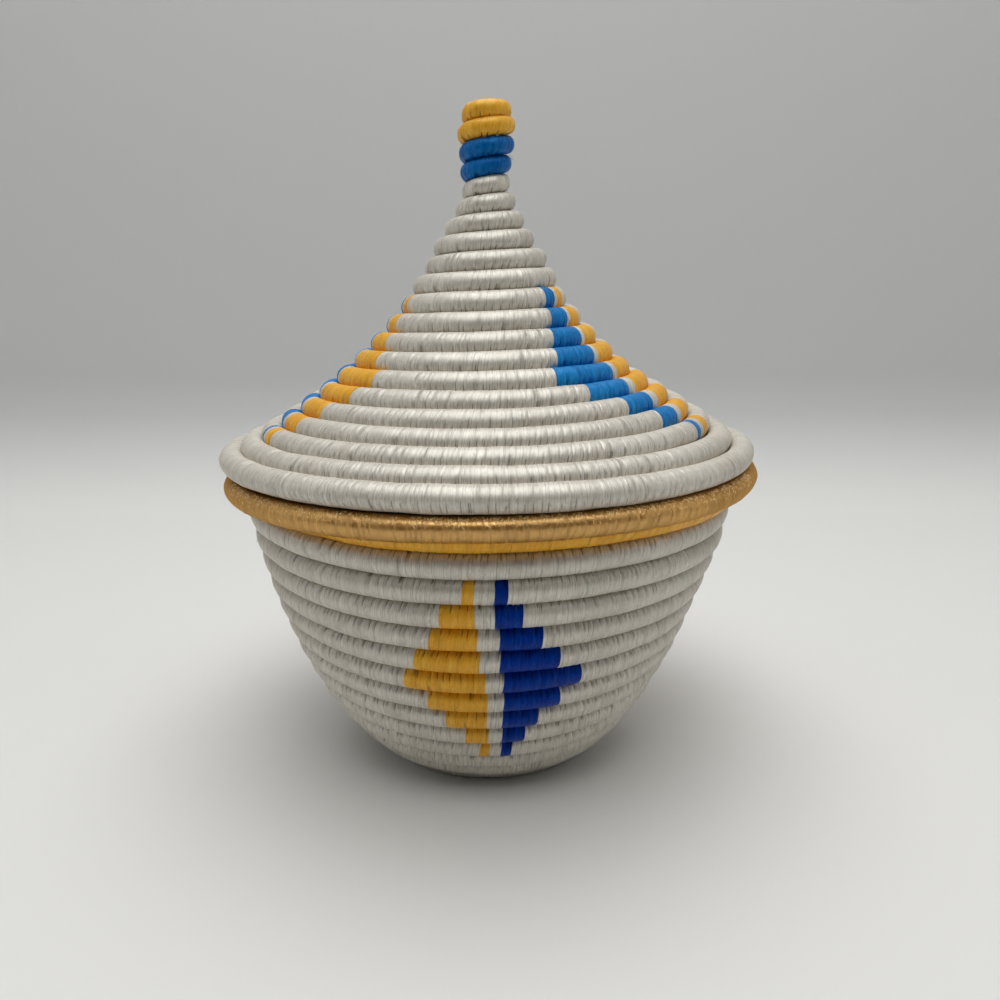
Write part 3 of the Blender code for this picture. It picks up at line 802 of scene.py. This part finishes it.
def growHairs(path, kind, count, startTurn, endTurn, startAngle, endAngle, colour=None):
    # closed four-sided threads, rooted in the wrap
    look, rings = hairKinds[kind], hairShape["points"]
    along = np.linspace(0.0, 1.0, rings)[None, :]
    root = rng.uniform(startTurn, endTurn, count)[:, None]
    length = rng.uniform(*look["length"], count)[:, None]
    thickness = rng.uniform(*look["thickness"], count)[:, None]
    aside = np.radians(rng.uniform(-look["turnAside"], look["turnAside"], count))[:, None]
    curl = rng.uniform(-1.0, 1.0, count)[:, None] * look["curl"]
    heading = aside + curl * along
    perTurn = 2.0 * math.pi * follow(path, "radius", root)
    turn = root + length * along * np.sin(heading) / perTurn
    half = follow(path, "half", root)
    rootAngle = np.radians(rng.uniform(startAngle, endAngle, count))[:, None]
    angle = rootAngle - length * along * np.cos(heading) / half
    if kind == "free":
        # it stands off more and more towards its tip
        rise = rng.uniform(*hairShape["liftSpread"], count)[:, None] * along ** hairShape["liftPower"]
        lift = look["lift"] * rise - thickness
    else:
        # it arches over the wrap, with both ends under it
        lift = look["lift"] * 4.0 * along * (1.0 - along) - thickness * (1.0 - 2.0 * along) ** 2
    middle = inSpace(path, turn, half - path["gap"] / 2.0 + lift, angle)
    ahead = np.gradient(middle, axis=1)
    ahead /= np.linalg.norm(ahead, axis=-1, keepdims=True)
    out = inSpace(path, turn, half + 1.0, angle) - inSpace(path, turn, half, angle)
    across = np.cross(ahead, out)
    across /= np.linalg.norm(across, axis=-1, keepdims=True)
    up = np.cross(across, ahead)
    taper = (thickness / 2.0 * (1.0 - hairShape["thinning"] * along**2))[..., None]
    ways = (across, up, -across, -up)
    around = len(ways)
    points = np.stack([middle + way * taper for way in ways], axis=2).reshape(-1, 3)
    first = np.arange(count)[:, None] * rings * around
    tip = first + (rings - 1) * around
    ring = first[..., None] + np.arange(rings - 1)[None, :, None] * around
    side = np.arange(around)[None, None, :]
    nextRing, nextSide = ring + around, (side + 1) % around
    threads = np.stack([ring + side, nextRing + side, nextRing + nextSide, ring + nextSide], axis=-1)
    quads = np.vstack([threads.reshape(-1, 4), first + np.arange(around), tip + np.arange(around)[::-1]])
    strip = rng.integers(0, stripNumbers, count)[:, None, None] + rng.random((count, 1, 1))
    u = strip + np.zeros((1, rings, around))
    v = (length * along)[..., None] + np.zeros((1, 1, around))
    uv = np.stack([u, v], axis=-1).reshape(-1, 2)
    dye = np.full(count, sisalOrder.index(colour)) if colour else dyeAt(path, root[:, 0])
    dyes = np.concatenate([np.repeat(dye, (rings - 1) * around), dye, dye])
    return {"points": points, "quads": quads, "uv": uv[quads], "splitShade": np.zeros(len(points)), "dyes": dyes}


def joinParts(parts):
    shift, quads = 0, []
    for part in parts:
        quads.append(part["quads"] + shift)
        shift += len(part["points"])
    joined = {"quads": np.concatenate(quads)}
    for key in ("points", "uv", "splitShade", "dyes"):
        joined[key] = np.concatenate([part[key] for part in parts])
    return joined


def makePiece(name, part, body, node):
    mesh = bpy.data.meshes.new(name)
    points, quads = part["points"] * mm, part["quads"]
    mesh.vertices.add(len(points))
    mesh.vertices.foreach_set("co", points.astype(np.float32).ravel())
    mesh.loops.add(quads.size)
    mesh.loops.foreach_set("vertex_index", quads.astype(np.int32).ravel())
    mesh.polygons.add(len(quads))
    mesh.polygons.foreach_set("loop_start", np.arange(0, quads.size, 4, dtype=np.int32))
    mesh.update(calc_edges=True)
    used = sorted(set(part["dyes"].tolist()))
    for dye in used:
        mesh.materials.append(sisal[sisalOrder[dye]])
    mesh.polygons.foreach_set("material_index", np.searchsorted(used, part["dyes"]).astype(np.int32))
    mesh.polygons.foreach_set("use_smooth", np.ones(len(quads), dtype=bool))
    wraps = mesh.uv_layers.new(name="wraps")
    wraps.data.foreach_set("uv", part["uv"].astype(np.float32).ravel())
    mesh.attributes.new("splitShade", "FLOAT", "POINT").data.foreach_set("value", part["splitShade"].astype(np.float32))
    mesh.validate()
    piece = bpy.data.objects.new(name, mesh)
    bpy.context.scene.collection.objects.link(piece)
    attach(piece, body)
    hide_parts(node)
    print(name, len(quads), "faces")


for path, body, lengths in ((bowl, "bowl", bowlLengths), (lid, "lid", lidLengths)):
    for name, (node, slot, _, start, end) in lengths.items():
        coil = wrapCoil(path, start, end, wrapping["boldness"].get(name, 1.0))
        part = joinParts([coil, *(growHairs(path, *hair) for hair in hairs.get(name, ()))])
        if node == "bowl_base_coil":
            part["points"][:, 2] = np.maximum(part["points"][:, 2], 0.0)  # it lies flat on the floor
        makePiece(name, part, body, node)

# The round inside the mouth that keeps the lid from sliding off
neckSize = {"setback": 4.9, "half": 4.0, "opening": 0.0142, "tuck": 1.6}  # the opening is a share of a turn
neckLow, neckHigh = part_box("bowl_neck_coil")
neckEnd = (1.0 - neckSize["opening"]) / 2.0
neckTurns = np.linspace(-neckEnd, neckEnd, stepsPerTurn + 1)
flat = np.ones(len(neckTurns))
neckRadius = bowlCoil["mouthRadius"] - neckSize["setback"]
neckTuck = neckSize["tuck"] * sideShare(neckTurns, "left")
neck = {
    "turn": neckTurns,
    "radius": neckRadius - neckTuck,
    "height": (neckLow[2] + neckHigh[2]) / 2.0 / mm * flat,
    "half": neckSize["half"] * flat,
    "lean": math.pi / 2.0 * flat,
    "aside": 0.0 * flat,
    "arc": (neckTurns - neckTurns[0]) * 2.0 * math.pi * neckRadius,
    "gap": 0.0,
    "spans": [(-1.0, 1.0, "white")],
    "stitches": np.zeros(0),
    "newer": 1.0,
}
neckCoil = wrapCoil(neck, neckTurns[0], neckTurns[-1])
makePiece("bowlNeckCoil", neckCoil, "bowl", "bowl_neck_coil")
print("coils wrapped and sewn")


# Studio: a pale sweep of paper under wide lamps
studio = {
    "floorFront": -1.6,
    "floorBack": 0.43,
    "curve": 0.12,
    "curvePoints": 24,
    "wallTop": 0.68,
    "halfWidth": 1.8,
    "floorPaper": "#DFDFDC",
    # painted shade: the wall is drawn darker than the floor, though the paper is one seamless sheet
    "shadedWallPaper": "#C6C7C6",
    "wallShadeFrom": 0.08,  # height from which the paper has its darker wall colour, painted shade
    "paperRoughness": 0.75,
    "lampTarget": (0.0, 0.0, 0.1),
    "air": "#F2F4F6",
    "airLight": 0.01,
}


def makeSweep():
    # seamless paper is matt and even; its wall is painted a little darker than its floor, as painted shade
    steps = np.linspace(0.0, math.pi / 2.0, studio["curvePoints"])
    curveY = studio["floorBack"] + studio["curve"] * np.sin(steps)
    curveZ = studio["curve"] * (1.0 - np.cos(steps))
    profile = [(studio["floorFront"], 0.0), *zip(curveY, curveZ), (curveY[-1], studio["wallTop"])]
    points = [(side * studio["halfWidth"], y, z) for y, z in profile for side in (-1.0, 1.0)]
    faces = [(2 * i, 2 * i + 1, 2 * i + 3, 2 * i + 2) for i in range(len(profile) - 1)]
    mesh = bpy.data.meshes.new("paperSweep")
    mesh.from_pydata(points, [], faces)
    mesh.polygons.foreach_set("use_smooth", [True] * len(faces))
    material = bpy.data.materials.new("seamlessPaper")
    material.use_nodes = True
    tree = material.node_tree
    shader = tree.nodes["Principled BSDF"]
    place = addNode(tree, "ShaderNodeTexCoord", {})
    axes = addNode(tree, "ShaderNodeSeparateXYZ", {}, {0: place.outputs["Object"]})
    up = addNode(tree, "ShaderNodeMapRange", {"From Max": studio["wallShadeFrom"]}, {"Value": axes.outputs[2]})
    shade = addNode(
        tree, "ShaderNodeMix",
        {"data_type": "RGBA", 6: hexToLinear(studio["floorPaper"]), 7: hexToLinear(studio["shadedWallPaper"])},
        {0: up.outputs[0]},
    )
    tree.links.new(shade.outputs[2], shader.inputs["Base Color"])
    shader.inputs["Roughness"].default_value = studio["paperRoughness"]
    mesh.materials.append(material)
    sweep = bpy.data.objects.new("paperSweep", mesh)
    bpy.context.scene.collection.objects.link(sweep)


makeSweep()
lamps = {
    # place, side of the square panel, watts, and whether it is aimed at the basket or straight down
    "ceilingPanel": ((0.0, 0.0, 1.5), 2.6, 11.2, False),
    "ceilingMiddle": ((0.0, 0.0, 1.49), 1.4, 11.0, False),
    "overheadSoftbox": ((0.0, 0.0, 1.2), 0.7, 1.6, False),
    "frontSoftbox": ((0.0, -0.7, 1.2), 0.5, 2.8, False),
    "leftPanel": ((-1.6, -0.2, 0.7), 1.4, 4.3, True),
    "rightPanel": ((1.6, -0.2, 0.7), 1.4, 4.3, True),
}
for name, (place, side, watts, aimed) in lamps.items():
    lampData = bpy.data.lights.new(name, "AREA")
    lampData.size = side
    lampData.energy = watts
    lamp = bpy.data.objects.new(name, lampData)
    lamp.location = place
    if aimed:
        aim = Vector(studio["lampTarget"]) - lamp.location
        lamp.rotation_euler = aim.to_track_quat("-Z", "Y").to_euler()
    bpy.context.scene.collection.objects.link(lamp)

world = bpy.data.worlds.new("studioAir")
bpy.context.scene.world = world
world.use_nodes = True
air = world.node_tree.nodes["Background"]
air.inputs["Color"].default_value = hexToLinear(studio["air"])
air.inputs["Strength"].default_value = studio["airLight"]
bpy.context.scene.view_settings.view_transform = "Standard"

# Camera, solved from the seams and the outline in the photograph
camera = {
    "distance": 0.3843,
    "height": 0.1999,
    "pitch": 12.99,
    "yaw": 0.81,
    "roll": 0.13,
    "focalPixels": 872.0,
    "imagePixels": 1000.0,
    "sensor": 36.0,
    "nearest": 0.02,
}
cameraData = bpy.data.cameras.new("camera")
cameraData.sensor_width = camera["sensor"]
cameraData.lens = camera["focalPixels"] / camera["imagePixels"] * camera["sensor"]
cameraData.clip_start = camera["nearest"]
cameraObject = bpy.data.objects.new("camera", cameraData)
cameraObject.location = (0.0, -camera["distance"], camera["height"])
cameraObject.rotation_euler = (
    math.radians(90.0 - camera["pitch"]), math.radians(camera["roll"]), math.radians(-camera["yaw"])
)
bpy.context.scene.collection.objects.link(cameraObject)
bpy.context.scene.camera = cameraObject
print("studio lit")

bpy.context.view_layer.update()
